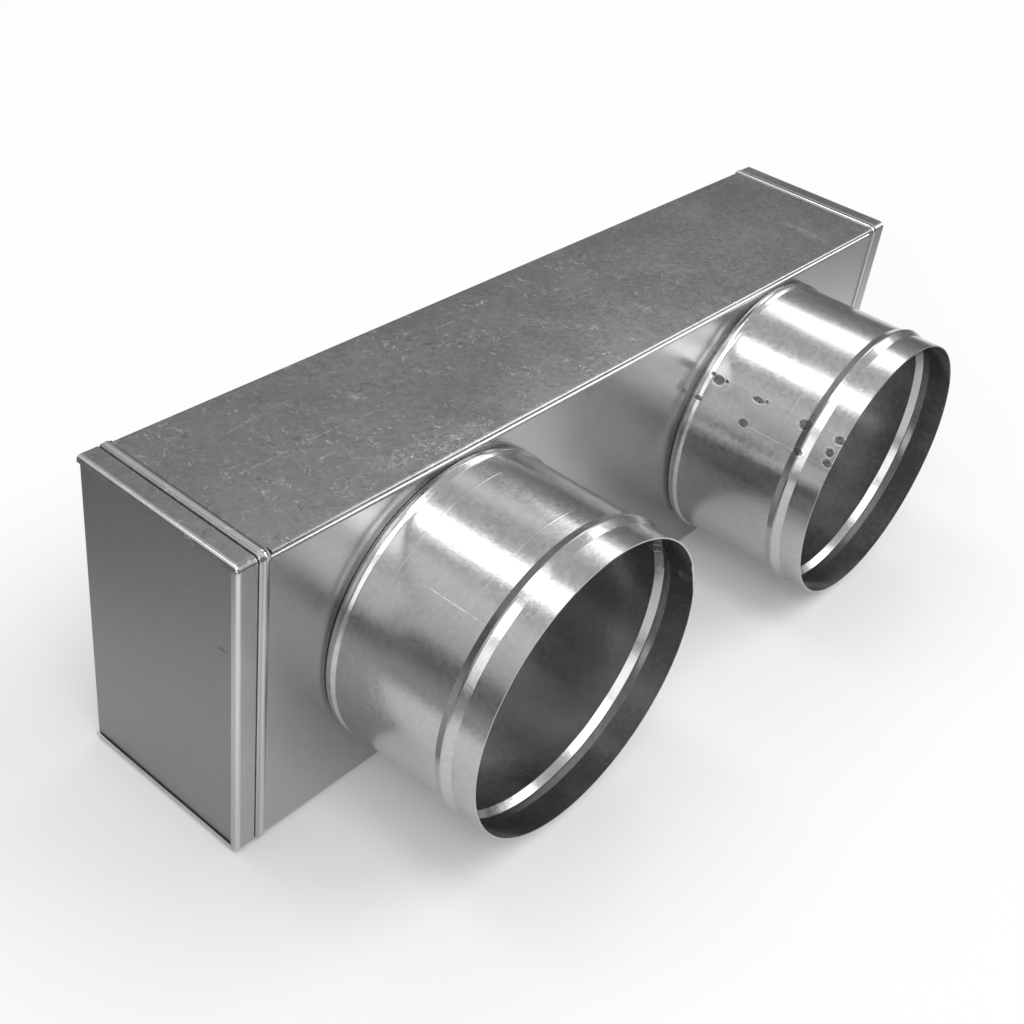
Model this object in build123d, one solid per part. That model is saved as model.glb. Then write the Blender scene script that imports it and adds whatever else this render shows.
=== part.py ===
from build123d import *
import os

# Rectangular duct plenum in thin galvanised sheet, with two beaded round spigots on its front.
# X runs along the box, Y from the spigots to the open rear, Z up. The origin is under the middle
# of the whole part, at the level of the end ridges that it stands on.

# Box
box_length = 502.0
box_height = 160.0
box_depth = 98.0
gauge = 0.6
seat_clearance = 0.1
corner_radius = 3.4
corner_slit_deg = 2.5

# Lock pocket along each end of the wrapping sheets, which grips the end panels
pocket_depth = 9.5
lock_hem_gap = 0.2
crease_gap = 0.1
ridge_width = 4.4
ridge_rise = 0.7
ridge_rise_run = 1.6
ridge_crest = 0.7
ridge_shoulder = 0.35
ridge_foot_bend = 0.8
ridge_crest_bend = 1.4
flank_lean = 0.1
flank_bend = 0.3
wrap_margin = 0.8
lip_depth = 3.1
lip_splay = 0.5

# End panels
pan_flange = 9.0
pan_bend = 0.4
pan_notch = 6.0

# Seam along the top front edge
seam_fold_gap = 1.0
seam_pocket_depth = 13.0
seam_mouth = 3.5
seam_play = 0.6
seam_notch = 0.5
seam_bend = 1.4

# Rear opening
rear_return = 9.0
rear_bend = 0.9

# Spigots
spigot_radius = 74.9
spigot_length = 87.0
spigot_spacing = 256.0
spigot_gauge = 0.6
hole_clearance = 0.3
hole_cut = 2.4
inner_lip_width = 1.1
inner_lip_bend = 0.3
base_bead_height = 1.2
base_bead_width = 6.4
base_bead_flank = 2.0
base_bead_bend = 1.0
mouth_bead_height = 1.8
mouth_bead_width = 9.0
mouth_bead_flank = 4.1
mouth_bead_bend = 0.4
mouth_bead_from_rim = 17.6
lap_width_deg = 12.0
lap_slit_deg = 0.4
joggle_deg = 1.2
left_lap_deg = 22.0
right_lap_deg = 148.5

# Places worked out from the sizes above
pocket_gap = gauge + 2 * seat_clearance
fold_slack = 0.01
front_y = (spigot_length - box_depth) / 2
rear_y = front_y + box_depth
bottom_z = ridge_rise
top_z = bottom_z + box_height
middle_z = (bottom_z + top_z) / 2
end_x = box_length / 2
pan_inset = gauge + seat_clearance
pan_outer_bend = pan_bend + gauge
pocket_x = end_x - pocket_depth
ridge_edge_x = pocket_x - 2 * gauge - crease_gap - flank_lean
ridge_foot_x = ridge_edge_x - ridge_width
wrap_x = ridge_foot_x - wrap_margin
seam_x = wrap_x - seam_notch
seam_fold = 2 * gauge + seam_fold_gap
hole_radius = spigot_radius + hole_clearance


def folded(points, inside_bends, thickness=gauge):
    """Section of a folded sheet: the points lie on one face, and the sheet grows to their left."""
    near = [Vector(*point) for point in points]
    runs = [(b - a).normalized() for a, b in zip(near, near[1:])]
    lefts = [Vector(-run.Y, run.X) for run in runs]
    far = [near[0] + lefts[0] * thickness]
    for corner, before, after in zip(near[1:], lefts, lefts[1:]):
        far.append(corner + (before + after) * (thickness / (1 + before.dot(after))))
    far.append(near[-1] + lefts[-1] * thickness)
    near_radii = []
    far_radii = []
    for inside, before, after in zip(inside_bends, runs, runs[1:]):
        outside = inside + thickness
        turns_left = before.X * after.Y > before.Y * after.X
        near_radii.append(outside if turns_left else inside)
        far_radii.append(inside if turns_left else outside)
    radii = [0, *near_radii, 0, 0, *reversed(far_radii), 0]
    return make_face(FilletPolyline(*near, *reversed(far), radius=radii, close=True))


def closed_fold(gap):
    """Inside radius of a sheet turned back on itself around a gap."""
    return gap / 2 - fold_slack


def lock_section():
    """End of a wrapping sheet at the right, as distances along X and out of the wall.

    From the wall the sheet rises over a rounded ridge, dives under the pocket, turns back at the end,
    turns again at the bottom of the pocket and ends in a lip that is hammered over the end panel.
    """
    crest_x = ridge_foot_x + ridge_rise_run
    dive = -(3 * gauge + pocket_gap + lock_hem_gap)
    hem_tip_x = end_x - gauge - seat_clearance
    lip_x = end_x + seat_clearance
    points = [
        (wrap_x, -gauge),
        (ridge_foot_x, -gauge),
        (crest_x, ridge_rise - gauge),
        (crest_x + ridge_crest, ridge_rise - gauge),
        (ridge_edge_x, ridge_shoulder - gauge),
        (ridge_edge_x + flank_lean, dive),
        (hem_tip_x, dive),
        (hem_tip_x, -gauge - pocket_gap),
        (pocket_x, -gauge - pocket_gap),
        (pocket_x, -gauge),
        (lip_x, -gauge),
        (lip_x + lip_splay, -lip_depth),
    ]
    hem = closed_fold(lock_hem_gap)
    pocket = closed_fold(pocket_gap)
    lip = pan_outer_bend + seat_clearance
    ridge = [ridge_foot_bend, ridge_crest_bend, ridge_crest_bend, flank_bend]
    bends = [*ridge, flank_bend, hem, hem, pocket, pocket, lip]
    return folded(points, bends)


def wall_plane(x, y, z, along):
    """Plane across a wall's length, with its own X along the box and its Y out of the wall."""
    return Plane(origin=(x, y, z), x_dir=(1, 0, 0), z_dir=along)


def both_ends(strip):
    """A strip at the right end with its mirror image at the left."""
    return strip + mirror(strip, about=Plane.YZ)


def seam_notches(low_z, high_z, reach):
    """Cuts that end the top front seam just short of the ridge at both ends."""
    size = (wrap_x - seam_x, reach, high_z - low_z)
    corner = (seam_x, front_y, low_z)
    return both_ends(Pos(*corner) * Box(*size, align=Align.MIN))


def front_and_bottom_panel():
    """One sheet folded along the lower front edge, with a lock pocket along both ends."""
    flange_z = top_z - seam_fold - seat_clearance
    points = [
        (front_y + seam_pocket_depth - seam_play, flange_z),
        (front_y, flange_z),
        (front_y, bottom_z),
        (rear_y, bottom_z),
        (rear_y, bottom_z + rear_return),
    ]
    section = folded(points, [seam_bend, corner_radius - gauge, rear_bend])
    sheet = extrude(Plane.YZ.offset(-wrap_x) * section, amount=2 * wrap_x, dir=(1, 0, 0))
    sheet -= seam_notches(flange_z - seam_bend - gauge, top_z, seam_pocket_depth)
    for x in (-spigot_spacing / 2, spigot_spacing / 2):
        hole = Cylinder(hole_radius, hole_cut, rotation=(90, 0, 0))
        sheet -= Pos(x, front_y + gauge / 2, middle_z) * hole

    lock = lock_section()
    axis_y = front_y + corner_radius
    low_z = bottom_z + corner_radius
    high_z = top_z - corner_radius
    front = wall_plane(0, front_y, low_z, (0, 0, -1)) * lock
    strip = extrude(front, amount=high_z - low_z, dir=(0, 0, 1))
    strip += revolve(front, axis=Axis((0, axis_y, low_z), (1, 0, 0)), revolution_arc=90)
    bottom = wall_plane(0, axis_y, bottom_z, (0, 1, 0)) * lock
    strip += extrude(bottom, amount=rear_y - axis_y, dir=(0, 1, 0))
    corner = wall_plane(0, front_y, high_z, (0, 0, -1)) * lock
    half_turn = 45 - corner_slit_deg / 2
    strip += revolve(corner, axis=Axis((0, axis_y, high_z), (-1, 0, 0)), revolution_arc=half_turn)
    return sheet + both_ends(strip)


def top_panel():
    """The sheet that closes the top, with the folded seam that takes the front panel's flange."""
    under_z = top_z - seam_fold
    pocket_y = front_y + seam_pocket_depth
    points = [
        (rear_y, top_z - rear_return),
        (rear_y, top_z),
        (front_y, top_z),
        (front_y, under_z),
        (pocket_y, under_z),
        (pocket_y, under_z - pocket_gap),
        (front_y + seam_mouth, under_z - pocket_gap),
    ]
    fold = closed_fold(seam_fold_gap)
    pocket = closed_fold(pocket_gap)
    section = folded(points, [rear_bend, fold, fold, pocket, pocket])
    sheet = extrude(Plane.YZ.offset(-wrap_x) * section, amount=2 * wrap_x, dir=(1, 0, 0))
    seam_floor = under_z - pocket_gap - gauge
    sheet -= seam_notches(seam_floor, top_z, corner_radius)
    sheet -= seam_notches(seam_floor, top_z - gauge, seam_pocket_depth + pocket_gap)

    lock = lock_section()
    axis_y = front_y + corner_radius
    axis_z = top_z - corner_radius
    top = wall_plane(0, axis_y, top_z, (0, -1, 0)) * lock
    strip = extrude(top, amount=rear_y - axis_y, dir=(0, 1, 0))
    half_turn = 45 - corner_slit_deg / 2
    strip += revolve(top, axis=Axis((0, axis_y, axis_z), (1, 0, 0)), revolution_arc=half_turn)
    return sheet + both_ends(strip)


def right_end_panel():
    """A pan whose flanges stand in the lock pockets; the rear one frames the opening."""
    low_y = front_y + pan_inset
    low_z = bottom_z + pan_inset
    width = rear_y - low_y
    height = top_z - pan_inset - low_z
    outline_bend = corner_radius - pan_inset
    centre = Pos((low_y + rear_y) / 2, low_z + height / 2)
    outside = Plane.YZ.offset(end_x) * centre * RectangleRounded(width, height, outline_bend)
    pan = extrude(outside, amount=pan_flange, dir=(-1, 0, 0))
    pan = fillet(pan.faces().sort_by(Axis.X)[-1].edges(), pan_outer_bend)
    hollow = Plane.YZ.offset(end_x - gauge) * centre * RectangleRounded(
        width - 2 * gauge, height - 2 * gauge, outline_bend - gauge
    )
    cavity = extrude(hollow, amount=pan_flange, dir=(-1, 0, 0))
    cavity = fillet(cavity.faces().sort_by(Axis.X)[-1].edges(), pan_bend)
    pan -= cavity
    notch = Box(pan_flange, pan_notch, pan_notch, align=(Align.MAX, Align.CENTER, Align.CENTER))
    for y in (low_y, rear_y):
        for z in (low_z, low_z + height):
            pan -= Pos(end_x - gauge, y, z) * notch
    return pan


def collar(lap_middle_deg):
    """A rolled collar along -Y from the origin, with its lap seam centred at the given angle."""
    base_start = seat_clearance
    base_end = base_start + base_bead_width
    base_crest = spigot_radius + base_bead_height
    mouth_middle = spigot_length - mouth_bead_from_rim
    mouth_start = mouth_middle - mouth_bead_width / 2
    mouth_end = mouth_middle + mouth_bead_width / 2
    mouth_crest = spigot_radius + mouth_bead_height
    lip_face = -(gauge + seat_clearance)
    points = [
        (spigot_radius + inner_lip_width, lip_face),
        (spigot_radius, lip_face),
        (spigot_radius, base_start),
        (base_crest, base_start + base_bead_flank),
        (base_crest, base_end - base_bead_flank),
        (spigot_radius, base_end),
        (spigot_radius, mouth_start),
        (mouth_crest, mouth_start + mouth_bead_flank),
        (mouth_crest, mouth_end - mouth_bead_flank),
        (spigot_radius, mouth_end),
        (spigot_radius, spigot_length),
    ]
    bends = [inner_lip_bend, *[base_bead_bend] * 4, *[mouth_bead_bend] * 4]
    wall = Plane(origin=(0, 0, 0), x_dir=(1, 0, 0), z_dir=(0, 0, -1)) * folded(
        points, bends, spigot_gauge
    )
    inner_wall = Pos(-spigot_gauge, 0, 0) * wall
    lapped_wall = wall + inner_wall
    step_down_deg = joggle_deg + lap_slit_deg
    stretches = [
        (lapped_wall, joggle_deg),
        (inner_wall, lap_slit_deg),
        (lapped_wall, lap_width_deg),
        (wall, 360 - step_down_deg - lap_width_deg),
    ]
    axis = Axis((0, 0, 0), (0, -1, 0))
    start = lap_middle_deg - lap_width_deg / 2 - step_down_deg
    rolled = Part()
    for section, sweep in stretches:
        rolled += Rotation(0, -start, 0) * revolve(section, axis=axis, revolution_arc=sweep)
        start += sweep
    return rolled


def spigot(x, lap_middle_deg):
    """A collar seated in the front panel's hole at the given place along the box."""
    return Pos(x, front_y, middle_z) * collar(lap_middle_deg)


right_pan = right_end_panel()
nodes = {
    "front_and_bottom_panel": front_and_bottom_panel(),
    "top_panel": top_panel(),
    "left_end_panel": mirror(right_pan, about=Plane.YZ),
    "right_end_panel": right_pan,
    "left_spigot": spigot(-spigot_spacing / 2, left_lap_deg),
    "right_spigot": spigot(spigot_spacing / 2, right_lap_deg),
}

os.makedirs("parts", exist_ok=True)
for name, shape in nodes.items():
    export_step(shape, f"parts/{name}.step")
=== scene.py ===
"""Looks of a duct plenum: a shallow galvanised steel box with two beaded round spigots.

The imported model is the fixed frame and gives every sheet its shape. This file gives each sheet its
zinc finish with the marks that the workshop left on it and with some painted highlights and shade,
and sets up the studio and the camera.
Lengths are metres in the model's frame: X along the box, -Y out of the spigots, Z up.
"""

import logging
import math
from dataclasses import dataclass
from enum import Enum
from typing import Any, Optional, Union

import bpy
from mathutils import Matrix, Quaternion, Vector


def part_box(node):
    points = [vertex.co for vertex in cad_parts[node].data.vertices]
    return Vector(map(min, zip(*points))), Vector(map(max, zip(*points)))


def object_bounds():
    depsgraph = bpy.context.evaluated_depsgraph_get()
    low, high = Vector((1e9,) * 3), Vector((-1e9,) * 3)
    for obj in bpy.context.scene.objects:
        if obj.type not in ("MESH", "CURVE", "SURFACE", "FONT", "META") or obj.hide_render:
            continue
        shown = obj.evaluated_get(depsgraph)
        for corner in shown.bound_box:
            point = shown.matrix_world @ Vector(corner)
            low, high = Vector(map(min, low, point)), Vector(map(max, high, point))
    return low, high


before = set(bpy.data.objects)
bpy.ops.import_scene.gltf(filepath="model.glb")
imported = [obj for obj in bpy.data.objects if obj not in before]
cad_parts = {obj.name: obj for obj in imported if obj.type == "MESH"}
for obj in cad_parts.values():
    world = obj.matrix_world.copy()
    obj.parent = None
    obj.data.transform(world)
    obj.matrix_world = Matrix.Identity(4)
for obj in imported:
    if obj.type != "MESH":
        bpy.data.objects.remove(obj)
cad_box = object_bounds()

MILLIMETRE = 0.001
LINE_WIDTH = 0.0009
NOISE_MIDDLE = 0.5
NOISE_SWING = 2.0
log = logging.getLogger("duct_plenum")


class Wire:
    """A socket of a shader graph that Python's operators work on."""

    def __init__(self, graph: "Graph", socket: bpy.types.NodeSocket) -> None:
        """Keeps the socket with the graph that it belongs to."""
        self.graph = graph
        self.socket = socket

    def __add__(self, other: "Operand") -> "Wire":
        """Sum."""
        return self.graph.maths("ADD", self, other)

    def __radd__(self, other: "Operand") -> "Wire":
        """Sum with the wire on the right."""
        return self.graph.maths("ADD", other, self)

    def __sub__(self, other: "Operand") -> "Wire":
        """Difference."""
        return self.graph.maths("SUBTRACT", self, other)

    def __rsub__(self, other: "Operand") -> "Wire":
        """Difference with the wire on the right."""
        return self.graph.maths("SUBTRACT", other, self)

    def __mul__(self, other: "Operand") -> "Wire":
        """Product."""
        return self.graph.maths("MULTIPLY", self, other)

    def __rmul__(self, other: "Operand") -> "Wire":
        """Product with the wire on the right."""
        return self.graph.maths("MULTIPLY", other, self)

    def __abs__(self) -> "Wire":
        """Size without the sign."""
        return self.graph.maths("ABSOLUTE", self)

    def root(self) -> "Wire":
        """Square root."""
        return self.graph.maths("SQRT", self)

    def least(self, other: "Operand") -> "Wire":
        """The smaller of two values."""
        return self.graph.maths("MINIMUM", self, other)

    def most(self, other: "Operand") -> "Wire":
        """The larger of two values."""
        return self.graph.maths("MAXIMUM", self, other)

    def fade(self, start: float, end: float, low: float = 0.0, high: float = 1.0) -> "Wire":
        """Smooth change between two levels.

        Args:
            start: The value at which the change starts.
            end: The value at which it is complete. It must be larger than start.
            low: The level up to start.
            high: The level from end on.

        Returns:
            The level as a wire.
        """
        made = self.graph.node(
            "ShaderNodeMapRange",
            {"interpolation_type": "SMOOTHSTEP"},
            {"Value": self, "From Min": start, "From Max": end, "To Min": low, "To Max": high},
        )
        return Wire(self.graph, made.outputs[0])

    def until(self, start: float, end: float) -> "Wire":
        """Full up to start and nothing from end on."""
        return self.fade(start, end, 1.0, 0.0)


Operand = Union[Wire, float]


class Graph:
    """The node graph of one material or of the world."""

    MIX_FACTOR = 0
    MIX_COLOUR_A = 6
    MIX_COLOUR_B = 7
    MIX_COLOUR_OUT = 2

    def __init__(self, owner: Union[bpy.types.Material, bpy.types.World]) -> None:
        """Empties the owner's graph and keeps it."""
        owner.use_nodes = True
        self.tree = owner.node_tree
        self.tree.nodes.clear()

    def node(
        self,
        kind: str,
        settings: Optional[dict[str, Any]] = None,
        inputs: Optional[dict[Any, Any]] = None,
    ) -> bpy.types.Node:
        """Adds a node.

        Args:
            kind: The node's Blender type.
            settings: Its settings, which are set first.
            inputs: A value or a wire for each socket, by name or number.

        Returns:
            The node.
        """
        made = self.tree.nodes.new(kind)
        for name, value in (settings or {}).items():
            setattr(made, name, value)
        for name, value in (inputs or {}).items():
            if isinstance(value, Wire):
                self.tree.links.new(value.socket, made.inputs[name])
            else:
                made.inputs[name].default_value = value
        return made

    def maths(self, operation: str, *values: Operand) -> Wire:
        """Adds a Math node.

        Args:
            operation: The node's operation.
            values: Its operands in order.

        Returns:
            Its result.
        """
        made = self.node("ShaderNodeMath", {"operation": operation}, dict(enumerate(values)))
        return Wire(self, made.outputs[0])

    def place(self) -> Wire:
        """The point on the surface in the model's frame."""
        return Wire(self, self.node("ShaderNodeTexCoord").outputs["Object"])

    def parts_of(self, vector: Wire) -> tuple[Wire, Wire, Wire]:
        """The three parts of a vector."""
        outputs = self.node("ShaderNodeSeparateXYZ", inputs={0: vector}).outputs
        return Wire(self, outputs[0]), Wire(self, outputs[1]), Wire(self, outputs[2])

    def noise(self, where: Wire, size: float, detail: float, distortion: float = 0.0) -> Wire:
        """Cloudy noise between 0 and 1.

        Args:
            where: The point it is read at.
            size: The size of its features.
            detail: The number of finer layers.
            distortion: How far the features are pulled about.

        Returns:
            The noise.
        """
        made = self.node(
            "ShaderNodeTexNoise",
            inputs={"Vector": where, "Scale": 1 / size, "Detail": detail, "Distortion": distortion},
        )
        return Wire(self, made.outputs[0])

    def crystals(self, where: Wire, size: float) -> Wire:
        """A random value for each crystal of a patchwork of that crystal size."""
        made = self.node("ShaderNodeTexVoronoi", inputs={"Vector": where, "Scale": 1 / size})
        return self.parts_of(Wire(self, made.outputs["Color"]))[0]

    def blend(self, factor: Wire, dark: "Tint", light: "Tint") -> Wire:
        """Blends two tints.

        Args:
            factor: The share of the light tint.
            dark: The tint at 0.
            light: The tint at 1.

        Returns:
            The colour.
        """
        made = self.node(
            "ShaderNodeMix",
            {"data_type": "RGBA"},
            {
                self.MIX_FACTOR: factor,
                self.MIX_COLOUR_A: dark.rgba(),
                self.MIX_COLOUR_B: light.rgba(),
            },
        )
        return Wire(self, made.outputs[self.MIX_COLOUR_OUT])

    def bump(self, height: Wire, depth: float, under: Optional[Wire] = None) -> Wire:
        """A surface direction from a height.

        Args:
            height: The height, where 1 stands for the full depth.
            depth: The full depth.
            under: A surface direction that this relief is added to.

        Returns:
            The surface direction.
        """
        inputs = {"Strength": 1.0, "Distance": depth, "Height": height}
        if under is not None:
            inputs["Normal"] = under
        return Wire(self, self.node("ShaderNodeBump", inputs=inputs).outputs[0])

    def finish(self, shader: bpy.types.Node, output: str = "ShaderNodeOutputMaterial") -> None:
        """Joins a shader to an output of that Blender type."""
        self.node(output, inputs={"Surface": Wire(self, shader.outputs[0])})


@dataclass(frozen=True)
class Tint:
    """A colour as linear red, green and blue."""

    ZINC_RED = 0.995
    ZINC_BLUE = 1.01

    red: float
    green: float
    blue: float

    def rgba(self) -> tuple[float, float, float, float]:
        """The colour with full alpha."""
        return (self.red, self.green, self.blue, 1.0)

    @staticmethod
    def zinc(tone: float) -> "Tint":
        """The faintly cool grey of zinc at that tone."""
        return Tint(tone * Tint.ZINC_RED, tone, tone * Tint.ZINC_BLUE)


BLACK = Tint(0.0, 0.0, 0.0)
WHITE = Tint(1.0, 1.0, 1.0)


@dataclass
class Skin:
    """A sheet's surface while its finish is laid on.

    Attributes:
        graph: The material's graph.
        place: The point on the surface in the model's frame.
        across: That point on the first axis of the sheet's flat chart.
        along: The same on the second axis.
        tone: The reflectance, as a share of the sheet's mean.
        rough: The roughness.
        relief: The height, in depths of the fine grain.
    """

    graph: Graph
    place: Wire
    across: Wire
    along: Wire
    tone: Wire
    rough: Wire
    relief: Wire


@dataclass(frozen=True)
class Gaps:
    """Cloudy gaps that break up a mark.

    Attributes:
        size: The size of the clouds.
        detail: The number of finer layers in them.
        start: The noise up to which a gap is at its deepest.
        end: The noise from which the mark is whole.
        least: The share of the mark that is left in a gap.
    """

    size: float
    detail: float
    start: float
    end: float
    least: float = 0.0

    def left_of(self, skin: Skin) -> Wire:
        """The share of the mark that is left at a point of the skin."""
        noise = skin.graph.noise(skin.place, self.size, self.detail)
        return noise.fade(self.start, self.end, self.least)


@dataclass(frozen=True)
class Curls:
    """Thin curled lines, drawn along a contour of slow noise.

    Attributes:
        size: The size of the noise's features.
        pull: How far they are pulled about.
        core: The difference from the contour up to which a line is full.
        end: The difference at which it has gone.
        level: The noise that the contour follows.
    """

    size: float
    pull: float
    core: float
    end: float
    level: float = NOISE_MIDDLE

    def drawn_on(self, skin: Skin) -> Wire:
        """How strongly the lines show at a point of the skin."""
        noise = skin.graph.noise(skin.place, self.size, detail=2.0, distortion=self.pull)
        return abs(noise - self.level).until(self.core, self.end)


@dataclass(frozen=True)
class MarkLook:
    """What one kind of mark does to the sheet.

    Attributes:
        core: The distance from its centre up to which it is full, where 1 is its outline.
        end: The distance at which it has gone.
        soot: The share of the tone that it takes away.
        shine: What it adds to the tone.
        haze: What it adds to the roughness.
        rise: What it adds to the relief.
        ragged: How far its outline wanders.
        gaps: The gaps in it.
        soot_gaps: The gaps in its soot alone.
        halo_shine: What the heat ring round it adds to the tone.
        halo_rise: What that ring adds to the relief.
    """

    WANDER_SIZE = 0.0016
    HALO_INNER = (0.95, 1.20)
    HALO_OUTER = (1.30, 1.60)

    core: float
    end: float
    soot: float = 0.0
    shine: float = 0.0
    haze: float = 0.0
    rise: float = 0.0
    ragged: float = 0.5
    gaps: Optional[Gaps] = None
    soot_gaps: Optional[Gaps] = None
    halo_shine: float = 0.0
    halo_rise: float = 0.0

    def lay(self, skin: Skin, marks: list["Mark"]) -> None:
        """Lays marks of this kind over a sheet.

        Args:
            skin: The sheet's surface.
            marks: The marks.
        """
        edge = marks[0].distance(skin.across, skin.along)
        for mark in marks[1:]:
            edge = edge.least(mark.distance(skin.across, skin.along))
        if self.ragged:
            wander = skin.graph.noise(skin.place, self.WANDER_SIZE, detail=2.0) - NOISE_MIDDLE
            edge = edge + wander * self.ragged
        inside = edge.until(self.core, self.end)
        if self.gaps:
            inside = inside * self.gaps.left_of(skin)
        if self.soot:
            soot = inside * self.soot_gaps.left_of(skin) if self.soot_gaps else inside
            skin.tone = skin.tone * (1.0 - soot * self.soot)
        if self.shine:
            skin.tone = skin.tone + inside * self.shine
        if self.haze:
            skin.rough = skin.rough + inside * self.haze
        if self.rise:
            skin.relief = skin.relief + inside * self.rise
        if self.halo_shine:
            halo = edge.fade(*self.HALO_INNER) * edge.until(*self.HALO_OUTER)
            skin.tone = skin.tone + halo * self.halo_shine
            skin.relief = skin.relief + halo * self.halo_rise


class MarkKind(Enum):
    """The kinds of mark on a sheet, in the order in which they are laid."""

    BURN = MarkLook(
        core=0.80,
        end=1.10,
        soot=0.80,
        haze=0.25,
        rise=-4.0,
        soot_gaps=Gaps(size=0.0011, detail=2.0, start=0.35, end=0.65, least=0.55),
        halo_shine=0.14,
        halo_rise=1.5,
    )
    SMUDGE = MarkLook(core=0.30, end=1.20, soot=0.22, haze=0.12)
    RUB = MarkLook(core=0.30, end=1.20, shine=0.12, haze=0.06)
    SCRATCH = MarkLook(
        core=0.55,
        end=1.10,
        shine=0.60,
        rise=1.0,
        gaps=Gaps(size=0.0050, detail=1.0, start=0.36, end=0.58, least=0.15),
    )
    # fine scribed lines; on the right spigot's lap seam the same look is a painted highlight along
    # its edges
    SCRIBE_AND_EDGE_HIGHLIGHT = MarkLook(core=0.60, end=1.10, shine=0.14, rise=1.0, ragged=0.0)


@dataclass(frozen=True)
class Mark:
    """One mark on a sheet, as an oval in the sheet's own flat chart.

    Attributes:
        kind: What it is.
        across: Its centre on the chart's first axis.
        along: Its centre on the chart's second axis.
        width: Its size on the first axis before it is turned.
        length: Its size on the second axis before it is turned.
        turn_deg: How far it is turned from the second axis towards the first.
    """

    kind: MarkKind
    across: float
    along: float
    width: float
    length: float
    turn_deg: float = 0.0

    def distance(self, across: Wire, along: Wire) -> Wire:
        """Distance from the centre, where 1 is the mark's outline.

        Args:
            across: The chart's first axis.
            along: The chart's second axis.

        Returns:
            The distance.
        """
        turn = math.radians(self.turn_deg)
        from_across = across - self.across
        from_along = along - self.along
        side = from_across * (math.cos(turn) * 2 / self.width)
        side = side - from_along * (math.sin(turn) * 2 / self.width)
        end = from_across * (math.sin(turn) * 2 / self.length)
        end = end + from_along * (math.cos(turn) * 2 / self.length)
        return (side * side + end * end).root()


@dataclass(frozen=True)
class Flecks:
    """Small curled handling flecks, some pale and some dark.

    They come in patches that a painted fade dims towards the right, following the lamps' glint, and
    a painted glint cluster of pale curls sits beside the left spigot.

    Attributes:
        strength: How strongly they show.
        glint_spot: Where the painted glint cluster sits.
    """

    PATCHES = Gaps(size=0.022, detail=2.0, start=0.36, end=0.56)
    PALE_CURLS = Curls(size=0.0070, pull=1.4, core=0.004, end=0.026)
    PALE_GAPS = Gaps(size=0.0048, detail=1.0, start=0.50, end=0.62)
    DARK_CURLS = Curls(size=0.0085, pull=1.1, core=0.004, end=0.030, level=0.52)
    DARK_GAPS = Gaps(size=0.0060, detail=1.0, start=0.50, end=0.62)
    GLINT_SPOT_CURLS = Curls(size=0.0042, pull=1.0, core=0.008, end=0.040)
    GLINT_SPOT_SHARE = 0.9
    GLINT_SPOT_CORE = 0.3
    GLINT_SPOT_END = 1.2
    GLINT_FADE_START = -0.06
    GLINT_FADE_END = 0.20
    GLINT_FADE_LEAST = 0.35
    PALE_TONE_AND_GLINT = 0.55
    DARK_TONE = 0.20
    PALE_HAZE = 0.08
    PALE_RISE = 1.5

    strength: float
    glint_spot: Mark

    def lay(self, skin: Skin) -> None:
        """Lays the flecks over a sheet.

        Args:
            skin: The sheet's surface.
        """
        patches = self.PATCHES.left_of(skin)
        # painted light: the flecks are dimmed towards the right, as the lamps' glint on them falls
        # off
        painted_glint_fade = skin.across.fade(self.GLINT_FADE_START, self.GLINT_FADE_END, 1.0, self.GLINT_FADE_LEAST)
        # painted glint cluster of pale curls beside the left spigot
        in_glint_spot = self.glint_spot.distance(skin.across, skin.along).until(self.GLINT_SPOT_CORE, self.GLINT_SPOT_END)
        pale_and_glint = self.PALE_CURLS.drawn_on(skin) * self.PALE_GAPS.left_of(skin) * patches * painted_glint_fade
        pale_and_glint = pale_and_glint + self.GLINT_SPOT_CURLS.drawn_on(skin) * in_glint_spot * self.GLINT_SPOT_SHARE
        dark = self.DARK_CURLS.drawn_on(skin) * self.DARK_GAPS.left_of(skin) * patches * painted_glint_fade
        # the pale flecks' lift in tone is partly scuff and partly painted glint
        skin.tone = skin.tone + pale_and_glint * (self.PALE_TONE_AND_GLINT * self.strength)
        skin.tone = skin.tone - dark * (self.DARK_TONE * self.strength)
        skin.rough = skin.rough + pale_and_glint * self.PALE_HAZE
        skin.relief = skin.relief + pale_and_glint * self.PALE_RISE - dark


@dataclass(frozen=True)
class Fold:
    """A fold across a sheet near both ends of the box, along which a highlight is painted.

    Attributes:
        from_middle: Its way along the box from the middle.
        level: Its place on the direction that the sheet faces.
        reach: How far from it the painted highlight reaches.
        shine: How bright its painted highlight is.
    """

    from_middle: float
    level: float
    reach: float = 0.0015
    shine: float = 1.0

    def painted_highlight(self, along: Wire, facing: Wire) -> Wire:
        """How bright the painted highlight is at a point.

        Args:
            along: The point's place along the box.
            facing: Its place on the direction that the sheet faces.

        Returns:
            The brightness of the painted highlight.
        """
        beside = abs(along) - self.from_middle
        below = facing - self.level
        distance = (beside * beside + below * below).root()
        return distance.fade(self.reach / 2, self.reach, self.shine, 0.0)


class Chart(Enum):
    """Which two directions a sheet's flat chart is read in."""

    LEVEL = "x and y"
    FRONT = "x and z"
    END = "y and z"
    ROLLED = "round a spigot and back from its rim"


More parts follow.
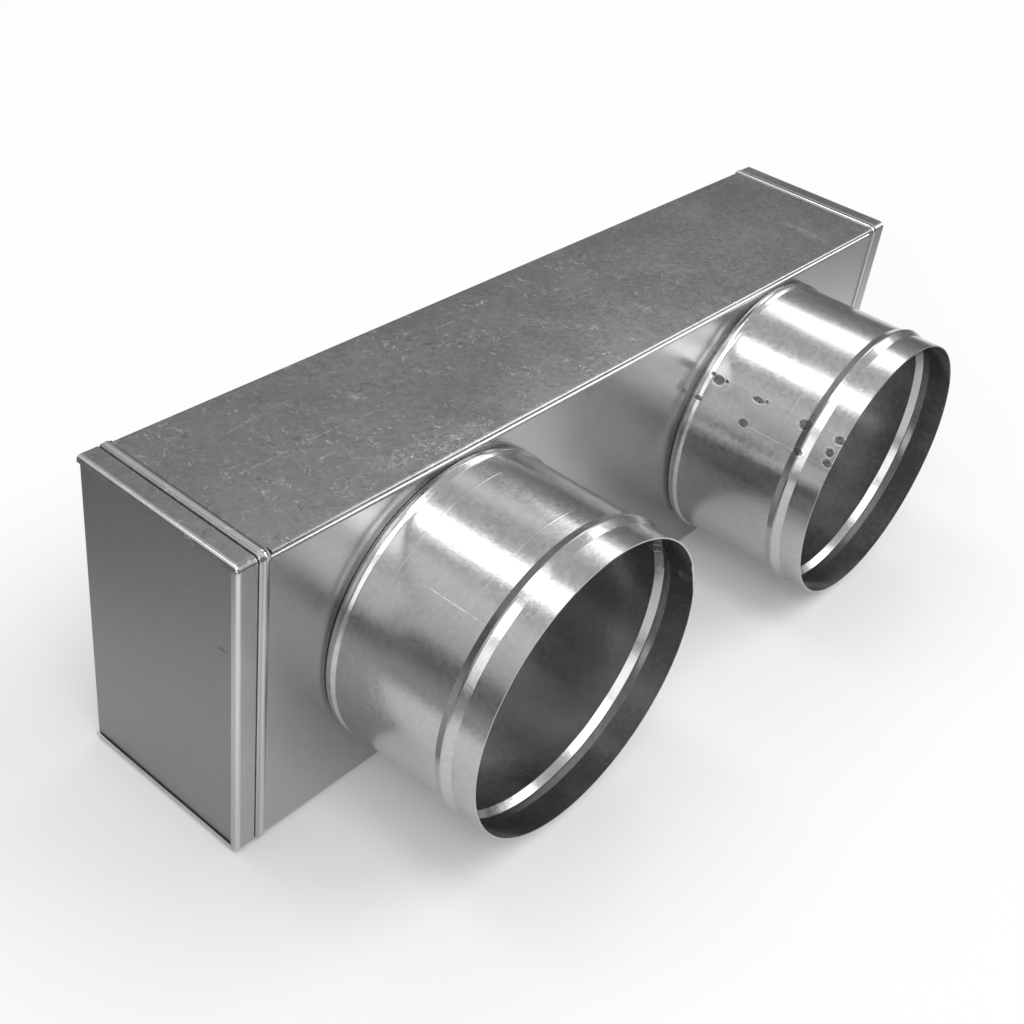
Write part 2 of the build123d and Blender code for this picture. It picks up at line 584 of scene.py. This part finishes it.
@dataclass(frozen=True)
class ZincFinish:
    """Hot-dip galvanised sheet.

    Attributes:
        name: The material's name.
        chart: How the sheet's flat chart is read.
        tone: Its mean reflectance.
        roughness: Its mean roughness.
        spangle: How much the tone changes from crystal to crystal.
        spangle_size: The size of a crystal.
        roughness_drift: How much the roughness drifts.
        cloud: How much the tone drifts over large patches.
        cloud_size: The size of those patches.
        grain_depth: Depth of the fine grain.
        grain_size: Size of the fine grain.
        wave_depth: Depth of the slow waves that rolling and folding leave.
        wave_size: Size of those waves.
        axis_x: Place of the rolled sheet's axis along the box.
        axis_z: Height of the rolled sheet's axis.
        radius: Radius of the rolled sheet.
        rim_y: Place of the rolled sheet's rim.
        flecks: The handling flecks on it.
        marks: The marks on it.
        folds: The folds along which a highlight is painted.
    """

    SPANGLE_HAZE = 0.8
    BRIGHTEST = 2.0
    SMOOTHEST = 0.08
    ROUGHEST = 0.9
    FOLD_PAINTED_HIGHLIGHT = 0.9
    FOLD_POLISH = 0.06

    name: str
    chart: Chart
    tone: float
    roughness: float
    spangle: float
    spangle_size: float = 0.0022
    roughness_drift: float = 0.08
    cloud: float = 0.10
    cloud_size: float = 0.045
    grain_depth: float = 0.000012
    grain_size: float = 0.0016
    wave_depth: float = 0.00025
    wave_size: float = 0.060
    axis_x: float = 0.0
    axis_z: float = 0.0
    radius: float = 1.0
    rim_y: float = 0.0
    flecks: Optional[Flecks] = None
    marks: tuple[Mark, ...] = ()
    folds: tuple[Fold, ...] = ()

    def material(self) -> bpy.types.Material:
        """Builds the material.

        Returns:
            A material for every sheet with this finish.
        """
        material = bpy.data.materials.new(self.name)
        graph = Graph(material)
        place = graph.place()
        x, y, z = graph.parts_of(place)
        skin = self._plain_skin(graph, place, (x, y, z))
        if self.flecks:
            self.flecks.lay(skin)
        for kind in MarkKind:
            marks = [mark for mark in self.marks if mark.kind is kind]
            if marks:
                kind.value.lay(skin, marks)
        if self.folds:
            facing = z if self.chart is Chart.LEVEL else y * -1.0
            self._paint_fold_highlights(skin, x, facing)
        waves = graph.noise(place, self.wave_size, detail=1.0, distortion=0.4)
        normal = graph.bump(waves, self.wave_depth)
        light = Tint.zinc(self.BRIGHTEST * self.tone)
        shader = graph.node(
            "ShaderNodeBsdfPrincipled",
            inputs={
                "Base Color": graph.blend(skin.tone * (1 / self.BRIGHTEST), BLACK, light),
                "Metallic": 1.0,
                "Roughness": skin.rough.most(self.SMOOTHEST).least(self.ROUGHEST),
                "Normal": graph.bump(skin.relief, self.grain_depth, normal),
            },
        )
        graph.finish(shader)
        return material

    def _plain_skin(self, graph: Graph, place: Wire, parts: tuple[Wire, Wire, Wire]) -> Skin:
        """The sheet's surface before any mark.

        Args:
            graph: The material's graph.
            place: The point on the surface.
            parts: The three parts of that point.

        Returns:
            The surface, clouded and spangled.
        """
        across, along = self._axes(graph, *parts)
        cloud = graph.noise(place, self.cloud_size, detail=3.0, distortion=0.6) - NOISE_MIDDLE
        crystals = graph.crystals(place, self.spangle_size) - NOISE_MIDDLE
        tone = 1.0 + cloud * (NOISE_SWING * self.cloud)
        rough = self.roughness + cloud * (NOISE_SWING * self.roughness_drift)
        return Skin(
            graph=graph,
            place=place,
            across=across,
            along=along,
            tone=tone + crystals * (NOISE_SWING * self.spangle),
            rough=rough + crystals * (self.SPANGLE_HAZE * self.spangle),
            relief=graph.noise(place, self.grain_size, detail=2.0, distortion=0.3),
        )

    def _axes(self, graph: Graph, x: Wire, y: Wire, z: Wire) -> tuple[Wire, Wire]:
        """The two axes of the sheet's flat chart.

        Args:
            graph: The material's graph.
            x: The point's place along the box.
            y: Its place across the box.
            z: Its height.

        Returns:
            The first and the second axis.
        """
        if self.chart is Chart.LEVEL:
            return x, y
        if self.chart is Chart.FRONT:
            return x, z
        if self.chart is Chart.END:
            return y, z
        angle = graph.maths("ARCTAN2", z - self.axis_z, x - self.axis_x)
        return angle * self.radius, y - self.rim_y

    def _paint_fold_highlights(self, skin: Skin, along: Wire, facing: Wire) -> None:
        """Paints a highlight along the sheet's folds and makes the sheet a little smoother there.

        Args:
            skin: The sheet's surface.
            along: The point's place along the box.
            facing: Its place on the direction that the sheet faces.
        """
        painted_highlight = self.folds[0].painted_highlight(along, facing)
        for fold in self.folds[1:]:
            painted_highlight = painted_highlight.most(fold.painted_highlight(along, facing))
        # painted highlight along each fold, standing in for the light that its rounded edge catches
        skin.tone = skin.tone + painted_highlight * self.FOLD_PAINTED_HIGHLIGHT
        skin.rough = skin.rough - painted_highlight * self.FOLD_POLISH


def dress_node(node: str, finish: ZincFinish) -> None:
    """Gives a CAD node a finish.

    Args:
        node: The node's name.
        finish: Its finish.
    """
    material = bpy.data.materials.get(finish.name) or finish.material()
    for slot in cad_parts[node].material_slots:
        slot.material = material
    log.info("%s wears %s", node, finish.name)


@dataclass(frozen=True)
class Box:
    """The folded box: front and bottom in one sheet, the top, and a pan at each end.

    Attributes:
        front_tone: The mean reflectance of the front and bottom sheet.
        top_tone: That of the top sheet.
        end_shaded_tone: That of the end pans, set lower as painted shade on the ends.
        lip: The way along the box from its middle to the outer lip of an end lock.
        ridge: The same to the ridge of an end lock.
    """

    front_tone: float = 0.45
    top_tone: float = 0.345
    end_shaded_tone: float = 0.28
    lip: float = 0.2506
    ridge: float = 0.2379

    def front_finish(self) -> ZincFinish:
        """The front and bottom sheet, clean enough to mirror the spigots softly.

        Returns:
            Its finish.
        """
        return ZincFinish(
            name="zinc_front_sheet",
            chart=Chart.FRONT,
            tone=self.front_tone,
            roughness=0.25,
            spangle=0.02,
            roughness_drift=0.04,
            cloud=0.06,
            grain_depth=0.000006,
            marks=(Mark(MarkKind.SMUDGE, 0.049, 0.125, 0.010, 0.008, 20.0),),
            # painted highlights along the end locks' folds
            folds=(
                Fold(self.lip, level=0.0052, shine=0.45),
                Fold(self.ridge, level=0.0062, shine=0.45),
            ),
        )

    def top_finish(self) -> ZincFinish:
        """The top sheet, scuffed with small flecks from being handled and stacked, with a painted
        glint on some of them and painted highlights along its folds.

        Returns:
            Its finish.
        """
        # the painted glint cluster of pale flecks beside the left spigot
        glint_spot = Mark(MarkKind.RUB, -0.139, 0.004, 0.085, 0.017, 8.0)
        return ZincFinish(
            name="zinc_top_sheet",
            chart=Chart.LEVEL,
            tone=self.top_tone,
            roughness=0.27,
            spangle=0.06,
            flecks=Flecks(strength=1.4, glint_spot=glint_spot),
            marks=(
                Mark(MarkKind.SMUDGE, 0.1356, 0.0169, 0.014, 0.006, 10.0),
                Mark(MarkKind.RUB, 0.1966, 0.0170, 0.008, 0.036, 4.0),
                *self.top_scratches(),
            ),
            # painted highlights along the end locks' folds
            folds=(
                Fold(self.lip, level=0.1604),
                Fold(self.ridge, level=0.1613, reach=0.0020, shine=1.7),
            ),
        )

    @staticmethod
    def top_scratches() -> tuple[Mark, ...]:
        """Long faint scratches on the top, nearly along the box and most of them on its left half.

        Returns:
            The scratches.
        """
        places = (
            (-0.204, 0.041, 0.036, 1.0),
            (-0.186, 0.068, 0.025, -6.6),
            (-0.164, 0.070, 0.014, 3.2),
            (-0.164, 0.041, 0.021, 1.2),
            (-0.175, 0.028, 0.015, -1.3),
            (-0.210, 0.020, 0.007, -18.0),
            (-0.208, 0.046, 0.012, 10.4),
            (-0.206, 0.066, 0.007, -2.7),
            (-0.142, 0.040, 0.021, 1.4),
            (-0.049, 0.073, 0.027, 4.2),
            (0.028, 0.053, 0.030, 4.9),
        )
        return tuple(
            Mark(MarkKind.SCRATCH, x, y, length, LINE_WIDTH, turn) for x, y, length, turn in places
        )

    def end_finish(self) -> ZincFinish:
        """The end pans, dull and softly clouded, their low tone painted shade.

        Returns:
            Their finish.
        """
        return ZincFinish(
            name="zinc_end_sheet",
            chart=Chart.END,
            # painted shade: the end pans' tone is set low for the shade on their faces
            tone=self.end_shaded_tone,
            roughness=0.44,
            spangle=0.03,
            cloud=0.12,
            cloud_size=0.06,
            marks=(Mark(MarkKind.SMUDGE, 0.0041, 0.114, 0.007, 0.0022, 10.0),),
        )

    def dress(self) -> None:
        """Gives the box's CAD sheets their finishes."""
        end = self.end_finish()
        dress_node("front_and_bottom_panel", self.front_finish())
        dress_node("top_panel", self.top_finish())
        dress_node("left_end_panel", end)
        dress_node("right_end_panel", end)


@dataclass(frozen=True)
class Weld:
    """A spot-weld burn on a spigot's lap seam, read as an angle round it and a way from its rim."""

    angle_deg: float
    from_rim_mm: float
    width_mm: float
    length_mm: float

    def mark(self, radius: float) -> Mark:
        """The burn as a mark.

        Args:
            radius: The radius of the rolled sheet.

        Returns:
            The mark.
        """
        return Mark(
            MarkKind.BURN,
            across=math.radians(self.angle_deg) * radius,
            along=self.from_rim_mm * MILLIMETRE,
            width=self.width_mm * MILLIMETRE,
            length=self.length_mm * MILLIMETRE,
        )


@dataclass(frozen=True)
class Ring:
    """A fine line that a rolling tool scribed part of the way round a spigot."""

    from_rim_mm: float
    start_deg: float
    end_deg: float

    def mark(self, radius: float) -> Mark:
        """The line as a mark.

        Args:
            radius: The radius of the rolled sheet.

        Returns:
            The mark.
        """
        middle = math.radians((self.start_deg + self.end_deg) / 2)
        sweep = math.radians(self.end_deg - self.start_deg)
        return Mark(
            MarkKind.SCRIBE_AND_EDGE_HIGHLIGHT,
            across=middle * radius,
            along=self.from_rim_mm * MILLIMETRE,
            width=sweep * radius,
            length=LINE_WIDTH,
        )


@dataclass(frozen=True)
class Score:
    """A straight line or scratch along a spigot, between two ways from its rim."""

    angle_deg: float
    start_mm: float
    end_mm: float
    kind: MarkKind

    def mark(self, radius: float) -> Mark:
        """The line as a mark.

        Args:
            radius: The radius of the rolled sheet.

        Returns:
            The mark.
        """
        return Mark(
            self.kind,
            across=math.radians(self.angle_deg) * radius,
            along=(self.start_mm + self.end_mm) / 2 * MILLIMETRE,
            width=LINE_WIDTH,
            length=(self.end_mm - self.start_mm) * MILLIMETRE,
        )


@dataclass(frozen=True)
class Spigot:
    """A rolled and beaded collar.

    Attributes:
        node: Its CAD node.
        welds: The weld burns on its lap seam.
        rings: The fine lines that run round it.
        scores: The lines and scratches that run along it.
        tone: The mean reflectance of its sheet.
        radius: Outer radius of its wall.
    """

    node: str
    welds: tuple[Weld, ...]
    rings: tuple[Ring, ...]
    scores: tuple[Score, ...]
    tone: float = 0.52
    radius: float = 0.0749

    def finish(self) -> ZincFinish:
        """The rolled sheet, smoother than the box so that it mirrors the lamps in long bands.

        Returns:
            Its finish.
        """
        low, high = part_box(self.node)
        middle = (low + high) / 2
        pieces = (*self.welds, *self.rings, *self.scores)
        return ZincFinish(
            name=f"zinc_{self.node}",
            chart=Chart.ROLLED,
            tone=self.tone,
            roughness=0.21,
            spangle=0.05,
            roughness_drift=0.05,
            cloud=0.06,
            grain_depth=0.000030,
            wave_depth=0.00020,
            wave_size=0.042,
            axis_x=middle.x,
            axis_z=middle.z,
            radius=self.radius,
            rim_y=low.y,
            marks=tuple(piece.mark(self.radius) for piece in pieces),
        )

    def dress(self) -> None:
        """Gives the spigot's CAD solid its finish."""
        dress_node(self.node, self.finish())


def build_spigots() -> list[Spigot]:
    """The two spigots with the marks on each.

    Returns:
        The spigots from left to right.
    """
    left = Spigot(
        node="left_spigot",
        welds=(
            Weld(25.0, 21.0, 5.0, 6.0),
            Weld(19.0, 4.6, 5.0, 6.0),
            Weld(19.5, 2.5, 3.5, 4.0),
        ),
        rings=(
            Ring(32.1, 75.0, 160.0),
            Ring(69.7, 75.0, 147.0),
        ),
        scores=(Score(134.4, 23.0, 58.0, MarkKind.SCRATCH),),
    )
    right = Spigot(
        node="right_spigot",
        welds=(
            Weld(153.1, 2.5, 3.9, 5.0),
            Weld(149.0, 3.8, 4.4, 4.8),
            Weld(143.1, 2.3, 4.4, 5.4),
            Weld(154.0, 19.0, 4.2, 5.5),
            Weld(143.6, 22.1, 5.4, 7.2),
            Weld(153.9, 52.9, 4.2, 5.5),
            Weld(143.1, 51.0, 3.2, 7.2),
            Weld(142.25, 46.7, 1.9, 2.0),
            Weld(153.1, 82.0, 2.9, 4.4),
            Weld(143.1, 76.3, 5.2, 6.6),
            Weld(142.1, 71.9, 1.9, 2.2),
            Weld(141.6, 80.5, 1.9, 2.2),
        ),
        rings=(Ring(32.1, 128.0, 156.0),),
        # the lap seam's outer edge and its step, drawn as lines with a slight rise and a painted
        # highlight
        scores=(
            Score(142.4, 0.5, 79.0, MarkKind.SCRIBE_AND_EDGE_HIGHLIGHT),
            Score(154.6, 0.5, 79.0, MarkKind.SCRIBE_AND_EDGE_HIGHLIGHT),
        ),
    )
    return [left, right]


@dataclass(frozen=True)
class Lamp:
    """A plain soft panel lamp.

    Attributes:
        name: Its name.
        place: The middle of its face.
        aim: The point that it faces.
        size: Its width and length.
        glow: The brightness of its face.
    """

    name: str
    place: tuple[float, float, float]
    aim: tuple[float, float, float]
    size: tuple[float, float]
    glow: float

    def build(self) -> None:
        """Adds the lamp to the scene, with the power that gives its face that brightness."""
        width, length = self.size
        data = bpy.data.lights.new(self.name, "AREA")
        data.shape = "RECTANGLE"
        data.size = width
        data.size_y = length
        data.energy = self.glow * math.pi * width * length
        lamp = bpy.data.objects.new(self.name, data)
        lamp.location = self.place
        away = Vector(self.place) - Vector(self.aim)
        lamp.rotation_mode = "QUATERNION"
        lamp.rotation_quaternion = away.to_track_quat("Z", "Y")
        bpy.context.scene.collection.objects.link(lamp)


@dataclass(frozen=True)
class PaperEdge:
    """A straight edge of the white paper on the floor, just outside the picture; beyond it the grey
    floor is painted shade for the metal to mirror.

    Attributes:
        x: A point on the edge, along the box.
        y: The same point, across the box.
        heading_deg: The level direction that points away from the paper.
    """

    x: float
    y: float
    heading_deg: float

    def beyond(self, x: Wire, y: Wire) -> Wire:
        """How far a point on the floor is outside the edge."""
        heading = math.radians(self.heading_deg)
        return (x - self.x) * math.cos(heading) + (y - self.y) * math.sin(heading)


@dataclass(frozen=True)
class Studio:
    """White paper on a grey floor, under soft lamps, where the grey floor and the dimmer paper by
    the box are painted shade.

    Attributes:
        floor_half: Half the floor's side.
        paper_tone: The reflectance of the white paper.
        shade_floor_tone: The reflectance of the floor beyond it, a painted shade for the metal to
            mirror.
        fibre_tone: How much the paper's tone drifts.
        fibre_size: The size of the patches in which it drifts.
        left_edge: The edge of the paper to the left.
        right_edge: Its edge to the front right.
        edge_reach: How far beyond an edge the floor has its full tone.
        painted_shadow_glow: The share of white that the camera and the metal see on the floor by the
            box, kept low there as a painted shadow.
        far_glow: That share away from it.
        painted_shadow_reach: How far from the box the painted shadow reaches before the floor has
            the far share.
        painted_shadow_reach_right: The same to the right, where the painted shadow reaches further.
        low_sky: The level of the soft light from all round, near the floor.
        high_sky: Its level overhead.
        sky_start: The height on the sky, where 1 is overhead, at which it starts to brighten.
        sky_end: The height at which it is brightest.
        lamps: The lamps.
    """

    floor_half: float = 7.0
    paper_tone: float = 0.80
    shade_floor_tone: float = 0.33
    fibre_tone: float = 0.01
    fibre_size: float = 0.4
    left_edge: PaperEdge = PaperEdge(-0.37, -0.01, 146.2)
    right_edge: PaperEdge = PaperEdge(0.20, -0.17, -65.9)
    edge_reach: float = 0.12
    painted_shadow_glow: float = 0.12
    far_glow: float = 0.92
    painted_shadow_reach: float = 0.22
    painted_shadow_reach_right: float = 0.60
    low_sky: float = 0.17
    high_sky: float = 0.60
    sky_start: float = 0.05
    sky_end: float = 0.95
    lamps: tuple[Lamp, ...] = (
        Lamp("overhead_panel", (-0.33, 0.10, 1.85), (-0.33, 0.10, 0.08), (0.50, 2.50), 2.9),
        Lamp("right_panel", (0.94, 0.44, 1.23), (0.0, -0.05, 0.12), (0.36, 0.54), 2.5),
        Lamp("rear_right_panel", (0.72, 0.86, 1.36), (-0.12, -0.05, 0.15), (0.40, 0.34), 0.5),
        Lamp("left_window", (-1.35, 1.00, 1.15), (0.0, 0.0, 0.08), (1.30, 1.30), 0.36),
        Lamp("front_right_window", (1.30, -0.92, 1.05), (-0.10, -0.05, 0.10), (1.35, 1.15), 3.5),
        Lamp("front_left_window", (-1.00, -0.96, 1.55), (-0.15, -0.02, 0.14), (1.30, 0.54), 3.7),
        Lamp("front_left_fill", (-1.50, -1.05, 0.70), (-0.15, -0.02, 0.12), (1.10, 0.95), 1.6),
    )

    def build(self) -> None:
        """Builds the floor, the even light from all round and the lamps."""
        self._floor()
        self._sky()
        for lamp in self.lamps:
            lamp.build()
            log.info("studio has %s", lamp.name)

    def _floor(self) -> None:
        """A level floor at the height that the part stands on."""
        half = self.floor_half
        corners = [(-half, -half, 0.0), (half, -half, 0.0), (half, half, 0.0), (-half, half, 0.0)]
        mesh = bpy.data.meshes.new("floor")
        mesh.from_pydata(corners, [], [(0, 1, 2, 3)])
        floor = bpy.data.objects.new("floor", mesh)
        bpy.context.scene.collection.objects.link(floor)
        mesh.materials.append(self._floor_material())

    def _floor_material(self) -> bpy.types.Material:
        """The paper and the floor beyond it, which the camera and the metal see whitened except on
        the painted shade and the painted shadow.

        Returns:
            The material.
        """
        material = bpy.data.materials.new("paper_on_grey_floor")
        graph = Graph(material)
        place = graph.place()
        x, y, _ = graph.parts_of(place)
        outside = self.left_edge.beyond(x, y).most(self.right_edge.beyond(x, y))
        # painted shade: the darker floor beyond the paper's edges, where the metal mirrors it
        shade_floor = outside.fade(0.0, self.edge_reach)
        fibres = graph.noise(place, self.fibre_size, detail=2.0) - NOISE_MIDDLE
        tone = self.paper_tone + fibres * self.fibre_tone
        tone = tone - shade_floor * (self.paper_tone - self.shade_floor_tone)
        paint = graph.node(
            "ShaderNodeBsdfPrincipled",
            inputs={
                "Base Color": graph.blend(tone, BLACK, WHITE),
                "Roughness": 0.9,
                "Specular IOR Level": 0.0,
            },
        )
        white = graph.node("ShaderNodeEmission", inputs={"Color": WHITE.rgba()})
        shader = graph.node(
            "ShaderNodeMixShader",
            inputs={
                0: self._seen(graph) * (self._glow_with_painted_shadow(x, y) * (1.0 - shade_floor)),
                1: Wire(graph, paint.outputs[0]),
                2: Wire(graph, white.outputs[0]),
            },
        )
        graph.finish(shader)
        return material

    @staticmethod
    def _seen(graph: Graph) -> Wire:
        """Whether the camera, or a mirror or glass in its view, is looking at the floor.

        Args:
            graph: The floor's graph.

        Returns:
            1 where it is, and otherwise 0.
        """
        ray = graph.node("ShaderNodeLightPath").outputs
        seen = Wire(graph, ray["Is Camera Ray"]).most(Wire(graph, ray["Is Glossy Ray"]))
        return seen.most(Wire(graph, ray["Is Transmission Ray"]))

    def _glow_with_painted_shadow(self, x: Wire, y: Wire) -> Wire:
        """The share of white at a point on the paper, lowered near the box as a painted shadow.

        Args:
            x: The point's place along the box.
            y: Its place across the box.

        Returns:
            The share.
        """
        low, high = cad_box
        # painted shadow: less white close to the box, reaching further out to the right
        beside = (low[0] - x).most((x - high[0]) * (self.painted_shadow_reach / self.painted_shadow_reach_right)).most(0.0)
        before = (abs(y) - high[1]).most(0.0)
        away = (beside * beside + before * before).root()
        return away.fade(0.0, self.painted_shadow_reach, self.painted_shadow_glow, self.far_glow)

    def _sky(self) -> None:
        """Soft pale light from all round, brighter overhead."""
        world = bpy.data.worlds.new("soft_light")
        graph = Graph(world)
        direction = Wire(graph, graph.node("ShaderNodeTexCoord").outputs["Generated"])
        height = graph.parts_of(direction)[2]
        level = height.fade(self.sky_start, self.sky_end, self.low_sky, self.high_sky)
        light = graph.node("ShaderNodeBackground", inputs={"Color": level})
        graph.finish(light, "ShaderNodeOutputWorld")
        bpy.context.scene.world = world


@dataclass(frozen=True)
class PhotoCamera:
    """The camera at the photograph's place, with its slight roll."""

    eye: tuple[float, float, float] = (-0.53197, -0.32981, 0.50800)
    aim: tuple[float, float, float] = (-0.10433, -0.02000, 0.12456)
    roll_deg: float = 8.134
    lens_mm: float = 51.11
    nearest: float = 0.02
    farthest: float = 50.0

    def build(self) -> None:
        """Adds the camera and makes it the scene's own."""
        data = bpy.data.cameras.new("photo_camera")
        data.lens = self.lens_mm
        data.clip_start = self.nearest
        data.clip_end = self.farthest
        camera = bpy.data.objects.new("photo_camera", data)
        camera.location = self.eye
        ahead = Vector(self.aim) - Vector(self.eye)
        camera.rotation_mode = "QUATERNION"
        roll = Quaternion((0.0, 0.0, 1.0), math.radians(self.roll_deg))
        camera.rotation_quaternion = ahead.to_track_quat("-Z", "Y") @ roll
        bpy.context.scene.collection.objects.link(camera)
        bpy.context.scene.camera = camera


def main() -> None:
    """Builds the looks in order."""
    logging.basicConfig(level=logging.INFO, format="%(name)s: %(message)s")
    bpy.context.scene.view_settings.view_transform = "Standard"
    PhotoCamera().build()
    Studio().build()
    Box().dress()
    for spigot in build_spigots():
        spigot.dress()


if __name__ == "__main__":
    main()
